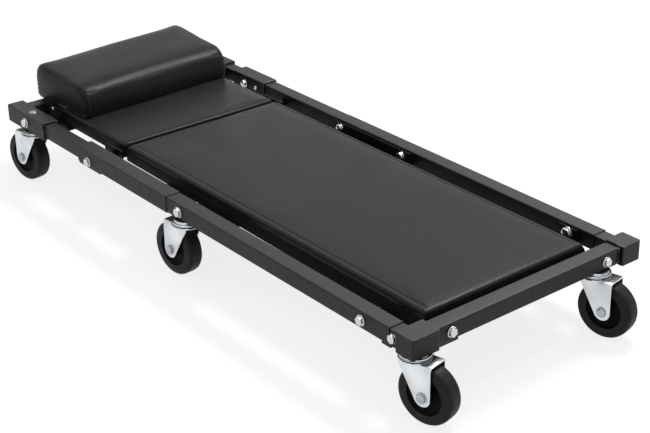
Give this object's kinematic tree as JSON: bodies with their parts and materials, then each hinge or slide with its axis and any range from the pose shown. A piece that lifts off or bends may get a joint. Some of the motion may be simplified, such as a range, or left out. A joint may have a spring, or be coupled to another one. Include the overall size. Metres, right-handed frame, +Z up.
{
  "type": "mechanic creeper",
  "caption": "Low rolling creeper: bolted black tube frame, padded lying board, tilting head section with pillow, and swivel casters.",
  "frame": {"origin": "on the floor under the middle of the whole creeper, wheels included", "axes": "+X towards the foot end, +Y towards the far rail (the side with the short sleeve), +Z up"},
  "size_m": [1.0738, 0.4288, 0.1838],
  "materials": {
    "powder_black": "satin",
    "zinc": "satin",
    "vinyl": "satin",
    "wheel_black": "matte",
    "plywood": "matte"
  },
  "bodies": {
    "frame": {"head_corner_near": "powder_black", "head_corner_far": "powder_black", "foot_corner_near": "powder_black", "foot_corner_far": "powder_black", "head_cross_tube": "powder_black", "foot_cross_tube": "powder_black", "near_inner_tube": "powder_black", "far_inner_tube": "powder_black", "near_rail_sleeve": "powder_black", "near_main_rail": "powder_black", "far_rail_sleeve": "powder_black", "far_mid_tube": "powder_black", "far_main_rail": "powder_black", "head_strap": "powder_black", "centre_plate": "powder_black", "foot_strap": "powder_black", "main_board": "plywood", "main_pad": "vinyl", "head_pivot_near": "zinc", "head_pivot_far": "zinc", "head_bolt_near": "zinc", "head_bolt_far": "zinc", "centre_bolt_near": "zinc", "foot_strap_bolt_near": "zinc", "foot_stub_bolt": "zinc", "centre_bolt_far_head": "zinc", "centre_bolt_far_foot": "zinc", "foot_strap_bolt_far": "zinc", "sleeve_bolt_far": "zinc", "sleeve_screw_far": "zinc", "foot_cross_bolt_near": "zinc", "foot_cross_bolt_far": "zinc", "caster_race_foot_near": "zinc", "caster_race_foot_far": "zinc", "caster_race_mid_near": "zinc", "caster_race_mid_far": "zinc", "caster_race_head_near": "zinc", "caster_race_head_far": "zinc"},
    "head_section": {"head_tray": "powder_black", "head_board": "plywood", "head_pad": "vinyl", "pillow": "vinyl"},
    "swivel_foot_near": {"caster_fork_foot_near": "zinc", "caster_axle_foot_near": "zinc"},
    "wheel_foot_near": {"caster_wheel_foot_near": "wheel_black"},
    "swivel_foot_far": {"caster_fork_foot_far": "zinc", "caster_axle_foot_far": "zinc"},
    "wheel_foot_far": {"caster_wheel_foot_far": "wheel_black"},
    "swivel_mid_near": {"caster_fork_mid_near": "zinc", "caster_axle_mid_near": "zinc"},
    "wheel_mid_near": {"caster_wheel_mid_near": "wheel_black"},
    "swivel_mid_far": {"caster_fork_mid_far": "zinc", "caster_axle_mid_far": "zinc"},
    "wheel_mid_far": {"caster_wheel_mid_far": "wheel_black"},
    "swivel_head_near": {"caster_fork_head_near": "zinc", "caster_axle_head_near": "zinc"},
    "wheel_head_near": {"caster_wheel_head_near": "wheel_black"},
    "swivel_head_far": {"caster_fork_head_far": "zinc", "caster_axle_head_far": "zinc"},
    "wheel_head_far": {"caster_wheel_head_far": "wheel_black"}
  },
  "joints": [
    {"name": "head_tilt", "type": "hinge", "parent": "frame", "child": "head_section", "pos_m": [-0.26986, 0, 0.10367], "axis": [0, 1, 0], "range_deg": [0, 30]},
    {"name": "swivel_foot_near", "type": "hinge", "parent": "frame", "child": "swivel_foot_near", "pos_m": [0.47314, -0.185, 0.04157], "axis": [0, 0, 1], "continuous": true},
    {"name": "spin_foot_near", "type": "hinge", "parent": "swivel_foot_near", "child": "wheel_foot_near", "pos_m": [0.49413, -0.18035, 0.04157], "axis": [-0.2164, 0.9763, 0], "continuous": true},
    {"name": "swivel_foot_far", "type": "hinge", "parent": "frame", "child": "swivel_foot_far", "pos_m": [0.47314, 0.145, 0.04157], "axis": [0, 0, 1], "continuous": true},
    {"name": "spin_foot_far", "type": "hinge", "parent": "swivel_foot_far", "child": "wheel_foot_far", "pos_m": [0.49413, 0.14965, 0.04157], "axis": [-0.2164, 0.9763, 0], "continuous": true},
    {"name": "swivel_mid_near", "type": "hinge", "parent": "frame", "child": "swivel_mid_near", "pos_m": [-0.01886, -0.1915, 0.04157], "axis": [0, 0, 1], "continuous": true},
    {"name": "spin_mid_near", "type": "hinge", "parent": "swivel_mid_near", "child": "wheel_mid_near", "pos_m": [-0.04029, -0.1933, 0.04157], "axis": [0.0837, -0.9965, 0], "continuous": true},
    {"name": "swivel_mid_far", "type": "hinge", "parent": "frame", "child": "swivel_mid_far", "pos_m": [-0.01886, 0.1915, 0.04157], "axis": [0, 0, 1], "continuous": true},
    {"name": "spin_mid_far", "type": "hinge", "parent": "swivel_mid_far", "child": "wheel_mid_far", "pos_m": [-0.04029, 0.1897, 0.04157], "axis": [0.0837, -0.9965, 0], "continuous": true},
    {"name": "swivel_head_near", "type": "hinge", "parent": "frame", "child": "swivel_head_near", "pos_m": [-0.46486, -0.1915, 0.04157], "axis": [0, 0, 1], "continuous": true},
    {"name": "spin_head_near", "type": "hinge", "parent": "swivel_head_near", "child": "wheel_head_near", "pos_m": [-0.48614, -0.1946, 0.04157], "axis": [0.1444, -0.9895, 0], "continuous": true},
    {"name": "swivel_head_far", "type": "hinge", "parent": "frame", "child": "swivel_head_far", "pos_m": [-0.46486, 0.1915, 0.04157], "axis": [0, 0, 1], "continuous": true},
    {"name": "spin_head_far", "type": "hinge", "parent": "swivel_head_far", "child": "wheel_head_far", "pos_m": [-0.48614, 0.1884, 0.04157], "axis": [0.1444, -0.9895, 0], "continuous": true}
  ]
}
